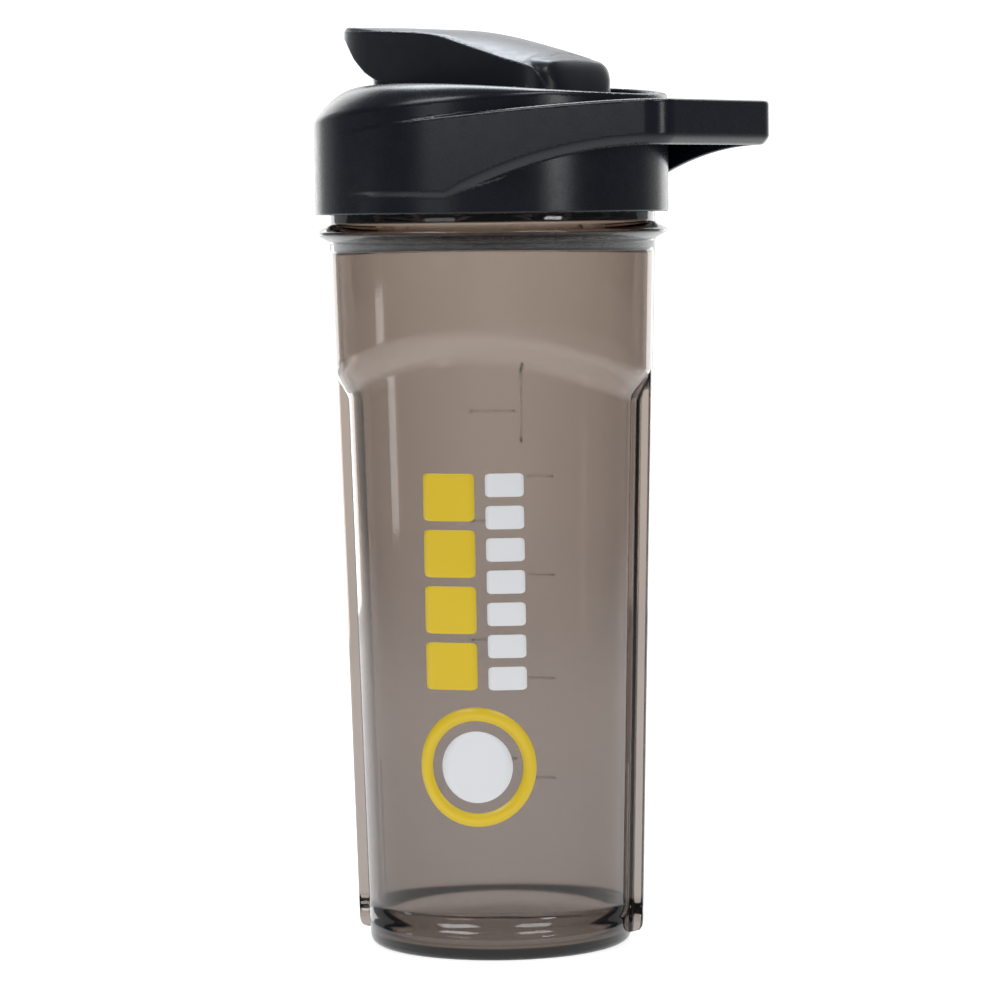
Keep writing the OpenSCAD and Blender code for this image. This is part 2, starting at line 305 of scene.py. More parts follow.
def corner(x, z, radius, start, end, count=5):
    """Points of an arc about (x, z), between two angles in degrees."""
    return [
        (x + radius * math.cos(math.radians(a)), z + radius * math.sin(math.radians(a)))
        for a in np.linspace(start, end, count)
    ]


# ---------------------------------------------------------------- materials
def nodes_of(name):
    """A new material, its node tree and its shader."""
    material = bpy.data.materials.new(name)
    material.use_nodes = True
    tree = material.node_tree
    return material, tree, tree.nodes["Principled BSDF"]


def noise(tree, scale, detail=3.0, stretch=(1, 1, 1)):
    """A noise texture in object coordinates, so scale is in waves per metre."""
    place = tree.nodes.new("ShaderNodeTexCoord")
    mapping = tree.nodes.new("ShaderNodeMapping")
    mapping.inputs["Scale"].default_value = stretch
    texture = tree.nodes.new("ShaderNodeTexNoise")
    texture.inputs["Scale"].default_value = scale
    texture.inputs["Detail"].default_value = detail
    tree.links.new(place.outputs["Object"], mapping.inputs["Vector"])
    tree.links.new(mapping.outputs["Vector"], texture.inputs["Vector"])
    return texture.outputs["Fac"]


def spread(tree, value, low, high, start=0.3, end=0.7):
    """Maps a value between start and end to between low and high."""
    ramp = tree.nodes.new("ShaderNodeMapRange")
    for key, number in zip(("From Min", "From Max", "To Min", "To Max"), (start, end, low, high)):
        ramp.inputs[key].default_value = number
    tree.links.new(value, ramp.inputs["Value"])
    return ramp.outputs["Result"]


def blend_colors(tree, value, low, high):
    """A colour between low and high, by a value from 0 to 1."""
    mix = tree.nodes.new("ShaderNodeMix")
    mix.data_type = "RGBA"
    mix.inputs[6].default_value = (*low, 1)
    mix.inputs[7].default_value = (*high, 1)
    tree.links.new(value, mix.inputs[0])
    return mix.outputs[2]


def bump(tree, shader, height, strength, distance):
    node = tree.nodes.new("ShaderNodeBump")
    node.inputs["Strength"].default_value = strength
    node.inputs["Distance"].default_value = distance
    tree.links.new(height, node.inputs["Height"])
    tree.links.new(node.outputs["Normal"], shader.inputs["Normal"])


def plastic(name, dark, light, rough, grain=0.15, grain_scale=2600):
    """Moulded plastic: a slow drift of colour and gloss, and a fine grain."""
    material, tree, shader = nodes_of(name)
    drift = noise(tree, 38, 2)
    tree.links.new(blend_colors(tree, drift, dark, light), shader.inputs["Base Color"])
    tree.links.new(spread(tree, noise(tree, 320, 4), *rough), shader.inputs["Roughness"])
    bump(tree, shader, noise(tree, grain_scale, 2), grain, 0.00006)
    return material


def smoke_plastic(name, rough):
    """Clear smoke-brown plastic. Its wall takes up light, so it darkens where it is seen edge
    on, and its surface colour is painted darker and cooler towards the foot, as painted shade."""
    material, tree, shader = nodes_of(name)
    place = tree.nodes.new("ShaderNodeTexCoord")
    split = tree.nodes.new("ShaderNodeSeparateXYZ")
    tree.links.new(place.outputs["Object"], split.inputs["Vector"])
    height = spread(tree, split.outputs["Z"], 0, 1, 0.0, 0.19)
    # painted shade: the base colour is darker and bluer towards the foot
    painted_foot_shade = blend_colors(tree, height, (0.8, 0.81, 0.84), (0.98, 0.97, 0.96))
    tree.links.new(painted_foot_shade, shader.inputs["Base Color"])
    tree.links.new(spread(tree, noise(tree, 25, 1), *rough), shader.inputs["Roughness"])
    shader.inputs["Transmission Weight"].default_value = 1
    shader.inputs["IOR"].default_value = 1.49
    bump(tree, shader, noise(tree, 900, 2), 0.03, 0.00005)
    uptake = tree.nodes.new("ShaderNodeVolumeAbsorption")
    uptake.inputs["Color"].default_value = (0.3, 0.18, 0.08, 1)
    uptake.inputs["Density"].default_value = 460
    output = tree.nodes["Material Output"]
    tree.links.new(uptake.outputs["Volume"], output.inputs["Volume"])
    return material


def steel():
    """Drawn steel with streaks along the pin."""
    material, tree, shader = nodes_of("pin_steel_drawn")
    shader.inputs["Metallic"].default_value = 1
    streaks = noise(tree, 500, 3, (12, 0.3, 12))
    steel_color = blend_colors(tree, streaks, (0.45, 0.45, 0.47), (0.66, 0.66, 0.68))
    tree.links.new(steel_color, shader.inputs["Base Color"])
    tree.links.new(spread(tree, streaks, 0.2, 0.4), shader.inputs["Roughness"])
    return material


SMOKE = smoke_plastic("smoke_clear", (0.05, 0.07))
LID_PLASTIC = plastic("lid_satin", (0.003, 0.004, 0.008), (0.004, 0.0055, 0.0105), (0.25, 0.29), 0.1)
CAP_PLASTIC = plastic("cap_satin", (0.006, 0.0075, 0.012), (0.010, 0.012, 0.018), (0.3, 0.38))
STRAINER_PLASTIC = plastic("strainer_satin", (0.02, 0.02, 0.024), (0.032, 0.032, 0.036), (0.4, 0.55))
RUBBER = plastic("seal_rubber", (0.075, 0.075, 0.08), (0.11, 0.11, 0.115), (0.6, 0.8), 0.4, 1800)
YELLOW = plastic("print_yellow", (0.78, 0.53, 0.015), (0.84, 0.6, 0.025), (0.32, 0.45), 0.1)
WHITE = plastic("print_white", (0.82, 0.82, 0.82), (0.88, 0.88, 0.88), (0.32, 0.45), 0.1)
STEEL = steel()


def finish_piece(piece, body, material, replaced=()):
    """Gives a piece its material and its body, and hides the CAD nodes that it stands for."""
    piece.data.materials.clear()
    piece.data.materials.append(material)
    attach(piece, body)
    if replaced:
        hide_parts(*replaced)


# ---------------------------------------------------------------- cup
def envelope_r(z):
    """Outside radius of the upper band and of the ribs."""
    return ENV_BASE_R + (BAND_R - ENV_BASE_R) * z / COLLAR_Z


def body_r(z):
    """Outside radius of the cup between the ribs."""
    return BASE_R + (WAIST_R - BASE_R) * z / ARCH_Z


def arch_height(angle):
    """Height of the shoulder's lower edge: an arc, seen square to the plane of the ribs."""
    half = envelope_r(ARCH_Z)
    radius = (half ** 2 + ARCH_DROP ** 2) / (2 * ARCH_DROP)
    across = half * np.cos(angle - RIB_ANGLE)
    return ARCH_Z - radius + np.sqrt(radius ** 2 - across ** 2)


def soft_ramp(t, soft=0.16):
    """From 0 to 1, straight in the middle and rounded where it starts and ends."""
    grow = lambda s: np.where(s < -soft, 0, np.where(s > soft, s, (s + soft) ** 2 / (4 * soft)))
    return grow(t) - grow(t - 1)


def cup_columns():
    """The cup's columns as (angle, offset across the rib, how far out on the rib)."""
    half = RIB_T / 2
    edge = [(half + 0.9, 0), (half + 0.25, 0.0), (half + 0.05, 0.1), (half, 0.4)]
    edge += [(half, 0.86), (half - 0.12, 0.96), (half - 0.4, 1)]
    across = [(-y, out) for y, out in edge] + [(0, 1)] + [(y, out) for y, out in edge[::-1]]
    gap = math.radians(4.2)
    free = 120
    columns = []
    for side in range(2):
        middle = RIB_ANGLE + side * math.pi
        columns += [(middle, y, out) for y, out in across]
        columns += [(middle + a, None, 0) for a in np.linspace(gap, math.pi - gap, free)]
    return columns


def thread_bulge(angle, z):
    """How far the cup's thread stands out of the neck."""
    turns, fade, root, crest = 1.25, 30 / 360, 0.9, 0.4
    out = np.zeros(np.broadcast(angle, z).shape)
    for lap in (0, 1):
        turn = (angle / (2 * math.pi)) % 1 + lap
        height = np.clip(np.minimum(turn, turns - turn) / fade, 0, 1) * THREAD_DEPTH
        away = np.abs(z - THREAD_Z - PITCH * turn)
        out = np.maximum(out, height * np.clip((root - away) / (root - crest), 0, 1))
    return out


def cup_rings():
    """Rows of the cup's skin, from the middle of the underside, up outside and down inside.

    Each row is a function of a column's angle and of how far out on a rib it is, and gives
    the radius and the height there."""
    foot = 2.4
    dish_r, dish_h = 29, 0.35
    dish = (3, 12, 21, 27, 29, 30.6)
    rows = [lambda a, out, r=r: (r, dish_h * max(1 - (r / dish_r) ** 2, 0)) for r in dish]
    rows += [lambda a, out, p=p: p for p in corner(BASE_R - foot, foot, foot, -90, 0, 8)]

    def side(z, out, share):
        plain = body_r(z)
        return plain + (envelope_r(z) - plain) * np.maximum(out * share, 0), z

    for z, share in ((2.7, 0), (2.9, 0.45), (3.3, 0.8), (4, 0.95), (5, 1), (8, 1)):
        rows.append(lambda a, out, z=z, share=share: side(z, out, share))
    for t in np.linspace(0, 1, 34):
        rows.append(lambda a, out, t=t: side(8 + (arch_height(a) - 2.5 - 8) * t, out, 1))

    def shoulder(a, out, t):
        z = arch_height(a) + ARCH_SLOPE * t
        share = np.maximum(out, soft_ramp(t))
        return body_r(z) + (envelope_r(z) - body_r(z)) * share, z

    for t in np.linspace(-0.25, 1.25, 19):
        rows.append(lambda a, out, t=t: shoulder(a, out, t))
    top = COLLAR_Z - 2.6
    for t in np.linspace(0.06, 1, 10):
        rows.append(lambda a, out, t=t: ring_up(a, t, top))
    rows += [lambda a, out, p=p: p for p in collar_outline()]
    for z in np.linspace(186, CUP_H - 1, 54):
        rows.append(lambda a, out, z=z: (BAND_R + thread_bulge(a, z), z))
    rows += [lambda a, out, p=p: p for p in corner(BAND_R - 0.7, CUP_H - 0.7, 0.7, 0, 90, 5)]
    rows += [lambda a, out, p=p: p for p in corner(MOUTH_R + 0.5, CUP_H - 0.5, 0.5, 90, 180, 5)]
    rows += [lambda a, out, p=p: p for p in ((MOUTH_R, LEDGE_Z + 0.15), (MOUTH_R - 0.15, LEDGE_Z))]
    rows += [lambda a, out, p=p: p for p in corner(LEDGE_R + 0.3, LEDGE_Z - 0.3, 0.3, 90, 180, 4)]
    rows += [lambda a, out, z=z: (LEDGE_R, z) for z in (188.2, 187.5)]

    def inner(a, t, low, high):
        z = low + (high - low) * t
        ramp = soft_ramp((z - arch_height(a)) / ARCH_SLOPE)
        plain = body_r(z) + (envelope_r(z) - body_r(z)) * ramp - WALL
        blend = np.clip((z - 183.5) / 3.5, 0, 1)
        blend = blend * blend * (3 - 2 * blend)
        return plain * (1 - blend) + LEDGE_R * blend, z

    for t in np.linspace(1, 0, 30)[:-1]:
        rows.append(lambda a, out, t=t: inner(a, t, arch_height(a) + 1.25 * ARCH_SLOPE, 187))
    for t in np.linspace(1.25, -0.25, 19):
        rows.append(lambda a, out, t=t: inner(a, t, arch_height(a), arch_height(a) + ARCH_SLOPE))
    inner_foot = 3.4
    low = FLOOR + inner_foot

    def inner_side(a, t):
        z = low + (arch_height(a) - 2.5 - low) * t
        return body_r(z) - WALL, z

    for t in np.linspace(1, 0, 30)[1:]:
        rows.append(lambda a, out, t=t: inner_side(a, t))
    centre = body_r(low) - WALL - inner_foot
    rows += [lambda a, out, p=p: p for p in corner(centre, low, inner_foot, 0, -90, 8)[1:]]
    gate = [(r, FLOOR - dip) for r, dip in ((20, 0), (9, 0), (4.4, 0), (3.6, 0.12), (1.4, 0.55), (0.7, 0.6))]
    rows += [lambda a, out, p=p: p for p in gate]
    return rows


def ring_up(a, t, top):
    """A row of the upper band, a share t of the way from the shoulder to top."""
    low = arch_height(a) + 1.25 * ARCH_SLOPE
    z = low + (top - low) * t
    return envelope_r(z), z


def collar_outline():
    """Outside of the collar, from the band up to the neck."""
    tip = 0.7
    points = corner(BAND_R + 1.2, COLLAR_Z - 3.0, 1.2, 180, 115, 4)
    points += corner(COLLAR_R - tip, COLLAR_Z - 0.1, tip, -60, 60, 9)
    points += corner(BAND_R + 1.2, COLLAR_Z + 2.8, 1.2, 245, 180, 4)
    return points


def build_cup():
    """The cup's skin: its rows turned round the axis, and closed at the axis inside and out."""
    columns = cup_columns()
    centre = np.array([c[0] for c in columns])
    offset = np.array([np.nan if c[1] is None else c[1] for c in columns])
    out = np.array([c[2] for c in columns], float)
    on_rib = ~np.isnan(offset)
    points = [(0, 0, 0.35), (0, 0, FLOOR - 0.6)]
    rows = cup_rings()
    for row in rows:
        angle = centre.copy()
        for _ in range(3):
            radius, z = (np.broadcast_to(v, angle.shape).astype(float) for v in row(angle, out))
            lean = np.arcsin(np.clip(np.where(on_rib, offset, 0) / radius, -1, 1))
            angle = centre + np.where(on_rib, lean, 0)
        radius, z = (np.broadcast_to(v, angle.shape).astype(float) for v in row(angle, out))
        points += list(zip(radius * np.cos(angle), radius * np.sin(angle), z))
    count = len(columns)
    faces = []
    last = 2 + (len(rows) - 1) * count
    for i in range(count):
        j = (i + 1) % count
        faces.append((0, 2 + j, 2 + i))
        faces.append((1, last + i, last + j))
    for row in range(len(rows) - 1):
        a = 2 + row * count
        for i in range(count):
            j = (i + 1) % count
            faces.append((a + i, a + j, a + count + j, a + count + i))
    return new_piece("cup_shell", points, faces)


# ---------------------------------------------------------------- print and volume marks
def patch(rows, turn, lift, thick):
    """A thin patch on the cup's side. rows are (left, right, z), across the cup from turn."""
    columns = 9
    points = []
    for level in (lift, lift + thick):
        for left, right, z in rows:
            radius = body_r(z) + level
            for u in np.linspace(left, right, columns):
                angle = turn + u / radius
                points.append((radius * math.cos(angle), radius * math.sin(angle), z))
    layer = len(rows) * columns
    faces = []
    for r in range(len(rows) - 1):
        for c in range(columns - 1):
            a = r * columns + c
            faces.append((a, a + columns, a + columns + 1, a + 1))
            b = a + layer
            faces.append((b, b + 1, b + columns + 1, b + columns))
    rim = [c for c in range(columns)]
    rim += [r * columns + columns - 1 for r in range(1, len(rows))]
    rim += [(len(rows) - 1) * columns + c for c in range(columns - 2, -1, -1)]
    rim += [r * columns for r in range(len(rows) - 2, 0, -1)]
    for a, b in zip(rim, rim[1:] + rim[:1]):
        faces.append((a, b, b + layer, a + layer))
    return points, faces


def block_rows(left, right, low, high, radius):
    """Rows of a block with rounded corners."""
    rows = []
    for z in np.concatenate([np.linspace(low, low + radius, 5), np.linspace(high - radius, high, 5)]):
        near_end = max(low + radius - z, z - high + radius, 0)
        cut = radius - math.sqrt(max(radius ** 2 - near_end ** 2, 0))
        rows.append((left + cut, right - cut, z))
    return rows


def disc_rows(x, z, radius, count=25):
    """Rows of a disc."""
    rows = []
    for a in np.linspace(-89, 89, count):
        half = radius * math.cos(math.radians(a))
        rows.append((x - half, x + half, z + radius * math.sin(math.radians(a))))
    return rows


def ring_patch(x, z, inner, outer, turn, lift, thick, count=96):
    """A thin flat ring on the cup's side, round the centre (x, z)."""
    points = []
    for size, level in ((inner, lift), (outer, lift), (outer, lift + thick), (inner, lift + thick)):
        for a in np.arange(count) * 2 * math.pi / count:
            height = z + size * math.sin(a)
            radius = body_r(height) + level
            angle = turn + (x + size * math.cos(a)) / radius
            points.append((radius * math.cos(angle), radius * math.sin(angle), height))
    faces = []
    for r in range(4):
        for c in range(count):
            d = (c + 1) % count
            above = (r + 1) % 4
            faces.append((r * count + c, r * count + d, above * count + d, above * count + c))
    return points, faces


def joined(name, patches):
    """One piece from several patches."""
    points, faces = [], []
    for p, f in patches:
        faces += [tuple(i + len(points) for i in face) for face in f]
        points += p
    return new_piece(name, points, faces)


def block_column(left, right, count, front, radius):
    """A column of equal blocks with gaps between them."""
    step = (PRINT_HIGH - PRINT_LOW + PRINT_GAP) / count
    blocks = []
    for i in range(count):
        low = PRINT_LOW + i * step
        rows = block_rows(left, right, low, low + step - PRINT_GAP, radius)
        blocks.append(patch(rows, front, PRINT_LIFT, PRINT_T))
    return blocks


def build_print():
    """Plain blocks, a ring and a disc: a generic print on the front."""
    front = RIB_ANGLE - math.pi / 2
    yellow = block_column(-11.6, 1.9, 4, front, 1.2)
    white = block_column(4.6, 14.2, 7, front, 1.0)
    yellow.append(ring_patch(*EMBLEM, 11.6, 15.0, front, PRINT_LIFT, PRINT_T))
    white.append(patch(disc_rows(*EMBLEM, 9.0), front, PRINT_LIFT, PRINT_T))
    return joined("print_yellow_blocks", yellow), joined("print_white_blocks", white)


def build_marks():
    """Raised volume marks on the back: two scales of lines and the divider between them."""
    back = RIB_ANGLE + math.pi / 2
    strokes = [(-9.3, -1.8, z) for z in ML_LINES] + [(1.7, 14.2, z) for z in OZ_LINES]
    patches = []
    for left, right, z in strokes:
        rows = [(left, right, z - MARK_HALF_W), (left, right, z + MARK_HALF_W)]
        patches.append(patch(rows, back, PRINT_LIFT, MARK_T))
    divider = [(-0.3, 0.3, z) for z in np.linspace(126, 146, 6)]
    patches.append(patch(divider, back, PRINT_LIFT, MARK_T))
    return joined("volume_marks", patches)


# ---------------------------------------------------------------- lid
def rim_height(x):
    """Height of the lid's rim, which falls towards the loop."""
    share = np.clip((x + 5) / 50, 0, 1)
    return RIM_Z - 3.3 * share ** 1.8


def belt_low(x):
    """Lower edge of the belt, which sweeps up from the skirt to the loop."""
    t = np.clip((x - 15.5) / 50, 0, 1)
    soft = np.clip((x - 11) / 9, 0, 1)
    return 189.8 + 13 * (1 - (1 - t) ** 2) * soft * soft * (3 - 2 * soft)


def belt_high(x):
    """Upper edge of the belt."""
    return 213.8 - 5.8 * np.clip((62 - x) / 72, 0, 1.35) ** 1.4


def belt_distance(x, y):
    """Distance to the belt's outline: a circle round the lid, two arms and the loop's end."""
    cx, big = 1.2, 45.2
    small = LOOP_CORNER_R
    ex, ey = LOOP_REACH - small, LOOP_HALF_W - small
    gamma = math.atan2(ey, ex - cx) + math.acos((big - small) / math.hypot(ex - cx, ey))
    ay = np.abs(y)
    line = (x - cx) * math.cos(gamma) + ay * math.sin(gamma) - big
    turn = np.arctan2(ay, x - cx)
    bend = np.arctan2(ay - ey, x - ex)
    found = np.where(turn > gamma, np.hypot(x - cx, y) - big, line)
    found = np.where((bend > 0) & (bend < gamma) & (x > ex), np.hypot(x - ex, ay - ey) - small, found)
    return np.where((ay <= ey) & (x > ex), x - LOOP_REACH, found)


def lid_outside(x, y, z):
    """Skirt and shoulder: circles that shrink and shift from the crease to the rim."""
    shrink = LID_R - RIM_R
    rim = rim_height(x)
    crease = np.minimum(213 + 0.084 * x, rim - 0.6)
    a = RECESS_X ** 2 - shrink ** 2
    b = 2 * (LID_R * shrink - RECESS_X * np.minimum(x, LID_R))
    c = np.maximum(LID_R ** 2 - x * x - y * y, 0)
    s = np.clip(2 * c / (b + np.sqrt(b * b + 4 * a * c)), 0, 1)
    top = crease + (rim - crease) * (1 - (1 - s) ** 2.3)
    body = round_max(np.hypot(x, y) - LID_R, (z - top) * 0.75, 0.5)
    return round_max(body, LID_Z - z, 0.45)


def lid_thread(x, y, z):
    """The thread inside the skirt, one turn, standing inwards."""
    turn = (np.arctan2(y, x) / (2 * math.pi)) % 1
    fade = np.clip(np.minimum(turn, 1 - turn) * 12, 0, 1)
    away = np.abs(z - (THREAD_Z - PITCH / 2 + PITCH * turn))
    depth = LID_BORE_R - np.hypot(x, y)
    side = away - 0.9 + 0.5 * np.clip(depth / THREAD_DEPTH, 0, 1.2)
    return round_max(side, depth - THREAD_DEPTH * fade + 0.3 * (1 - fade), 0.15)


def ear_distance(x, y, z):
    """The two hinge ears that stand on the recess floor."""
    across = np.abs(np.abs(y) - (PIN_HALF - 1.5)) - 1.5
    head = np.hypot(x - HINGE_X, z - HINGE_Z) - EAR_R
    foot = np.maximum(np.abs(x - HINGE_X) - EAR_R, z - HINGE_Z)
    ear = round_max(np.minimum(head, foot), across, 0.4)
    return np.maximum(ear, DECK_Z - 0.5 - z)


def lid_field(x, y, z):
    """The whole lid: skirt, belt and loop, bore, seat, recess, thread, spout, ears and vent."""
    belt = belt_distance(x, y)
    ring = round_max(belt, -(belt + LOOP_T), 0.9)
    edge = (belt_low(x) - z) * 0.9
    ring = round_max(ring, edge, 0.5)
    ring = round_max(ring, (belt + edge) * 0.71 + 1.1, 0.5)
    ring = round_max(ring, z - belt_high(x), 0.9)
    solid = round_min(lid_outside(x, y, z), ring, 0.3)
    radius = np.hypot(x, y)
    bore = round_max(radius - LID_BORE_R, z - SEAT_Z, 0.4)
    seat = round_max(radius - SEAT_R, z - (DECK_Z - DECK_T), 0.8)
    recess = round_max(np.hypot(x - RECESS_X, y) - RECESS_R, DECK_Z - z, 1.2)
    solid = carve(solid, np.minimum(bore, seat), 0.35)
    solid = carve(solid, recess, 0.45)
    solid = np.minimum(solid, np.maximum(lid_thread(x, y, z), radius - LID_BORE_R - 0.4))
    spout = np.hypot(x - SPOUT_X, y)
    tube = round_max(spout - SPOUT_R, z - SPOUT_Z, 0.6)
    tube = np.maximum(tube, DECK_Z - DECK_T - z)
    solid = round_min(solid, tube, 0.7)
    solid = round_min(solid, ear_distance(x, y, z), 0.6)
    solid = carve(solid, spout - SPOUT_BORE_R, 0.5)
    solid = carve(solid, np.hypot(x - 4, y - 9) - 1.1, 0.25)
    pin = np.maximum(np.hypot(x - HINGE_X, z - HINGE_Z) - PIN_R, np.abs(y) - PIN_HALF - 1)
    return carve(solid, pin, 0.12)


def build_lid():
    """The lid's mesh."""
    low = (lid_low[0] - 1, lid_low[1] - 1, LID_Z - 1)
    high = (LOOP_REACH + 1, lid_high[1] + 1, SPOUT_Z + 1)
    return solid_from_field("lid_shell", lid_field, low, high, 0.6, 0.42)


# ---------------------------------------------------------------- flip cap
CAP_T = 1.7
ridge = smooth_line([
    (-45, 234.4), (-40, 235), (-28, 234.3), (-15, 233.5), (-5, 232.8), (3, 231.6), (10, 230),
    (18, 227.9), (22, 226.7), (25, 225.4), (27, 224.1), (28.3, 222.2), (29.3, 219.4), (30.3, 215),
])
crease_line = smooth_line([
    (-45, 234.2), (-28, 233.3), (-20, 232.9), (-10, 232.2), (-4.6, 231.3), (1.6, 229.5),
    (8, 227.6), (15.6, 225.4), (21.5, 223.7), (24.2, 222.4), (26, 220), (27.4, 216), (28.4, 209),
])


def cap_plan(x, y):
    """Distance to the cap's outline: a half ellipse in front and a boxier end behind."""
    front, back = -4.0, 14.0
    half = 15.6 + 1.3 * np.clip((x - front) / (back - front), 0, 1)
    ahead, behind = (front - x) / (front - cap_low[0]), (x - back) / (cap_high[0] - back)
    power = np.where(x > back, 4.0, 2.0)
    reach = np.where(x > back, cap_high[0] - back, front - cap_low[0])
    u = np.maximum(np.maximum(ahead, behind), 1e-6)
    v = np.maximum(np.abs(y) / half, 1e-6)
    size = np.maximum((u ** power + v ** power) ** (1 / power), 0.05)
    slope = np.hypot((u / size) ** (power - 1) / reach, (v / size) ** (power - 1) / half)
    return (size - 1) / np.maximum(slope, 1e-3)


CAP_FRONT = np.array([
    (40, 260), (-60, 260), (-60, 232), (-44.8, 231.7), (-41.5, 231.2), (-39.2, 229.2), (-36.2, 226.2),
    (-31.5, 222.8), (-26, 220.2), (-22.6, 219.6), (-22.6, 209.2), (26.4, 209.2), (29.8, 213.2), (40, 220),
])


def cap_field(x, y, z):
    """The flip cap: a domed shell with flat side panels, a thumb lip, the plug's post and a barrel."""
    plan = cap_plan(x, y)
    below = polygon_distance(CAP_FRONT, x, z)
    height = ridge(x)
    crown = np.maximum(height - crease_line(np.minimum(x, 21)), 0.3)
    top = (z - (height - crown * np.minimum((y / 16) ** 2, 1.6))) * 0.93
    share = np.clip((x - 14) / 10, 0, 1)
    dome = round_max(plan + 0.3, top, 0.6 + 2.6 * share * share * (3 - 2 * share))
    panel = round_max(plan, (z - crease_line(x) - 0.5 * np.maximum(np.abs(plan) - 0.5, 0)) * 0.75, 0.3)
    shell = round_min(dome, np.maximum(panel, top - 0.15), 0.15)
    solid = round_max(shell, below, 0.45)
    scoop = np.sqrt(((x + 33) / 8) ** 2 + (y / 8.5) ** 2 + ((z - 235.6) / 2.4) ** 2)
    solid = carve(solid, (scoop - 1) * 2.4, 0.5)
    hollow = round_max(shell + CAP_T, -34 - x, 1.0)
    hollow = np.maximum(np.maximum(hollow, below - 2), x - 26.4)
    solid = carve(solid, hollow, 0.3)
    boss = np.hypot(x - SPOUT_X, y)
    post = np.maximum(boss - 6, np.maximum(SPOUT_Z + 1.9 - z, top + 0.5))
    solid = round_min(solid, post, 0.6)
    barrel = np.maximum(np.hypot(x - HINGE_X, z - HINGE_Z) - 3.6, np.abs(y) - 16.4)
    solid = round_min(solid, barrel, 0.4)
    solid = carve(solid, np.maximum(boss - 3, z - (SPOUT_Z + 6.9)), 0.2)
    return carve(solid, np.hypot(x - HINGE_X, z - HINGE_Z) - PIN_R - 0.07, 0.15)


def build_cap():
    """The flip cap's mesh."""
    low, high = cap_low - 1, cap_high + 1
    return solid_from_field("flip_cap_shell", cap_field, low, high, 0.5, 0.5)


def build_plug():
    """Soft stopper with a flange and a stem, rounded where the rubber is moulded."""
    base, gap = SPOUT_Z, 0.3
    outline = [(0, base - 4), (5.6, base - 4)]
    outline += corner(6.8, base - 3.2, 0.8, -80, 0, 5)
    outline += [(8.1, base - 0.4), (8.2, base + gap)]
    outline += corner(9.3, base + gap + 0.5, 0.5, -90, 0, 4)
    outline += corner(9.3, base + gap + 1.1, 0.5, 0, 90, 4)
    outline += [(3, base + gap + 1.6), (3, base + gap + 6.3)]
    outline += corner(2.8, base + gap + 6.3, 0.2, 0, 90, 3) + [(0, base + gap + 6.5)]
    return lathe("spout_plug_rubber", outline, SPOUT_X)


# ---------------------------------------------------------------- the pieces
finish_piece(build_cup(), "cup_body", SMOKE, ["cup"])
yellow_print, white_print = build_print()
finish_piece(yellow_print, "cup_body", YELLOW)
finish_piece(white_print, "cup_body", WHITE)
finish_piece(build_marks(), "cup_body", SMOKE)
finish_piece(build_lid(), "lid_body", LID_PLASTIC, ["lid"])
finish_piece(build_cap(), "cap_body", CAP_PLASTIC, ["flip_cap"])
finish_piece(build_plug(), "cap_body", RUBBER, ["spout_plug"])

for node, material in (("strainer", STRAINER_PLASTIC), ("lid_gasket", RUBBER), ("hinge_pin", STEEL)):
    mesh = frame["nodes"][node].data
    mesh.materials.clear()
    mesh.materials.append(material)


# ---------------------------------------------------------------- studio
CAMERA_TURN = math.radians(35.2)
CAMERA_AWAY = 1.078
CAMERA_HEIGHT = 0.1893
CAMERA_YAW = math.radians(0.06)
CAMERA_PITCH = math.radians(-4.03)
CAMERA_ROLL = math.radians(-0.74)
CAMERA_LENS = 152.06


def turned(a, b, angle):
    """The unit vectors a and b, turned by an angle in their own plane, a towards b."""
    return (
        a * math.cos(angle) + b * math.sin(angle),
        b * math.cos(angle) - a * math.sin(angle),
    )


def make_camera():
    """The camera, in front of the bottle and towards its carry loop."""
    data = bpy.data.cameras.new("camera")
    data.sensor_width = 36
    data.lens = CAMERA_LENS
    data.clip_start, data.clip_end = 0.05, 50
    camera = bpy.data.objects.new("camera", data)
    bpy.context.scene.collection.objects.link(camera)
    ahead = Vector((-math.sin(CAMERA_TURN), math.cos(CAMERA_TURN), 0))
    right = Vector((math.cos(CAMERA_TURN), math.sin(CAMERA_TURN), 0))
    up = Vector((0, 0, 1))
    place = -ahead * CAMERA_AWAY + up * CAMERA_HEIGHT
    ahead, right = turned(ahead, right, CAMERA_YAW)
    ahead, up = turned(ahead, up, CAMERA_PITCH)
    right, up = turned(right, up, CAMERA_ROLL)
    matrix = Matrix((right, up, -ahead)).transposed().to_4x4()
    camera.matrix_world = Matrix.Translation(place) @ matrix
    bpy.context.scene.camera = camera


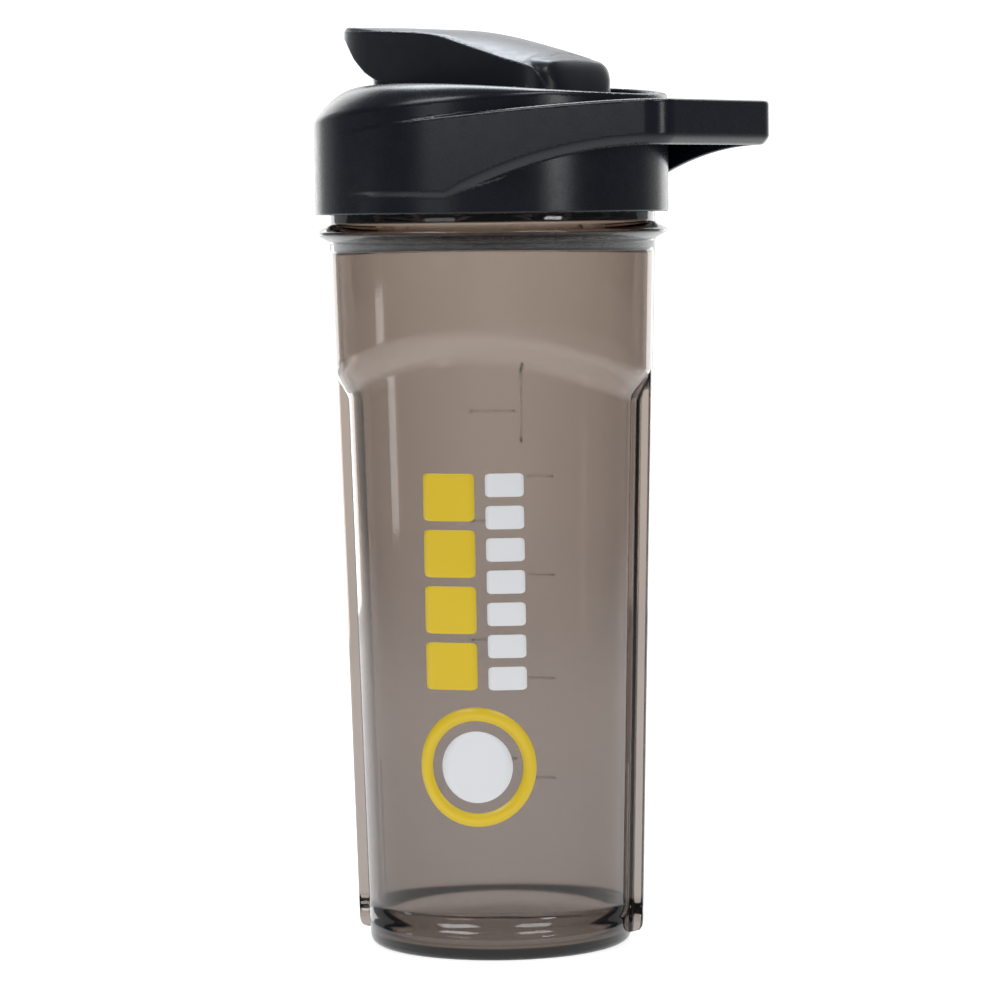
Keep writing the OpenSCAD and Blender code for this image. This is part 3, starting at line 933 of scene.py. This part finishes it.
def make_backdrop():
    """A pale floor that curves up into a backdrop, brightest in the middle behind the bottle."""
    reach, bend, height, half = 1.5, 0.5, 2.2, 3.0
    line = [(-3, 0), (reach, 0)]
    curve = np.linspace(0.1, math.pi / 2, 14)
    line += [(reach + bend * math.sin(a), bend - bend * math.cos(a)) for a in curve]
    line += [(reach + bend, height)]
    ahead = np.array((-math.sin(CAMERA_TURN), math.cos(CAMERA_TURN)))
    right = np.array((math.cos(CAMERA_TURN), math.sin(CAMERA_TURN)))
    points = []
    for away, z in line:
        for side in (-half, half):
            x, y = ahead * away + right * side
            points.append((x / MM, y / MM, z / MM))
    faces = [(2 * i, 2 * i + 1, 2 * i + 3, 2 * i + 2) for i in range(len(line) - 1)]
    floor = new_piece("floor", points, faces)
    material, tree, shader = nodes_of("studio_white")
    shader.inputs["Base Color"].default_value = (0.3, 0.3, 0.3, 1)
    shader.inputs["Roughness"].default_value = 0.9
    shader.inputs["Emission Color"].default_value = (1, 1, 1, 1)
    place = tree.nodes.new("ShaderNodeTexCoord")
    along = tree.nodes.new("ShaderNodeVectorMath")
    along.operation = "DOT_PRODUCT"
    along.inputs[1].default_value = (*ahead, 0)
    tree.links.new(place.outputs["Object"], along.inputs[0])
    across = tree.nodes.new("ShaderNodeVectorMath")
    across.operation = "DOT_PRODUCT"
    across.inputs[1].default_value = (*right, 0)
    tree.links.new(place.outputs["Object"], across.inputs[0])
    away = tree.nodes.new("ShaderNodeMath")
    away.operation = "ABSOLUTE"
    tree.links.new(across.outputs["Value"], away.inputs[0])
    near = spread(tree, along.outputs["Value"], 0.3, 0.88, -0.5, -0.1)
    far = spread(tree, along.outputs["Value"], 1, 1.35, 0.3, 1.8)
    side = spread(tree, away.outputs[0], 1, 0.3, 0.4, 0.85)
    for other in (far, side):
        product = tree.nodes.new("ShaderNodeMath")
        product.operation = "MULTIPLY"
        tree.links.new(near, product.inputs[0])
        tree.links.new(other, product.inputs[1])
        near = product.outputs[0]
    tree.links.new(near, shader.inputs["Emission Strength"])
    floor.data.materials.append(material)


def area_light(name, turn, away, height, size, power, colour=(1, 1, 1), aim=0.12):
    """A soft light at an angle round the bottle, seen from above, where 0 is the camera."""
    data = bpy.data.lights.new(name, "AREA")
    data.shape = "RECTANGLE"
    data.size, data.size_y = size
    data.energy = power
    data.color = colour
    light = bpy.data.objects.new(name, data)
    bpy.context.scene.collection.objects.link(light)
    angle = CAMERA_TURN + math.radians(turn)
    place = Vector((math.sin(angle) * away, -math.cos(angle) * away, height))
    light.location = place
    light.rotation_euler = (Vector((0, 0, aim)) - place).to_track_quat("-Z", "Y").to_euler()


def make_lights():
    """Soft lights behind, above and beside the bottle, and a dim grey-blue world."""
    area_light("left_edge", -154, 0.62, 0.3, (0.24, 0.6), 0.8)
    area_light("right_edge", 150, 0.62, 0.3, (0.24, 0.6), 0.8)
    area_light("left_glint", -86, 0.7, 0.08, (0.09, 0.1), 0.08, aim=0.14)
    area_light("corner_glint", 42, 0.75, 0.25, (0.16, 0.08), 0.35, aim=0.21)
    area_light("arm_sheen", -36, 0.8, 0.27, (0.3, 0.1), 0.2, aim=0.21)
    area_light("back_top", 178, 0.5, 0.95, (0.7, 0.45), 8, (0.88, 0.94, 1), aim=0.2)
    area_light("left_top", -50, 0.8, 1.05, (0.6, 0.4), 4.6, (0.95, 0.97, 1), aim=0.12)
    area_light("right_top", 38, 0.8, 1.05, (0.55, 0.4), 3.6, (0.95, 0.97, 1), aim=0.12)
    world = bpy.data.worlds.new("studio")
    world.use_nodes = True
    background = world.node_tree.nodes["Background"]
    background.inputs["Color"].default_value = (0.78, 0.87, 1, 1)
    background.inputs["Strength"].default_value = 0.14
    bpy.context.scene.world = world
    bpy.context.scene.view_settings.view_transform = "Standard"


make_camera()
make_backdrop()
make_lights()
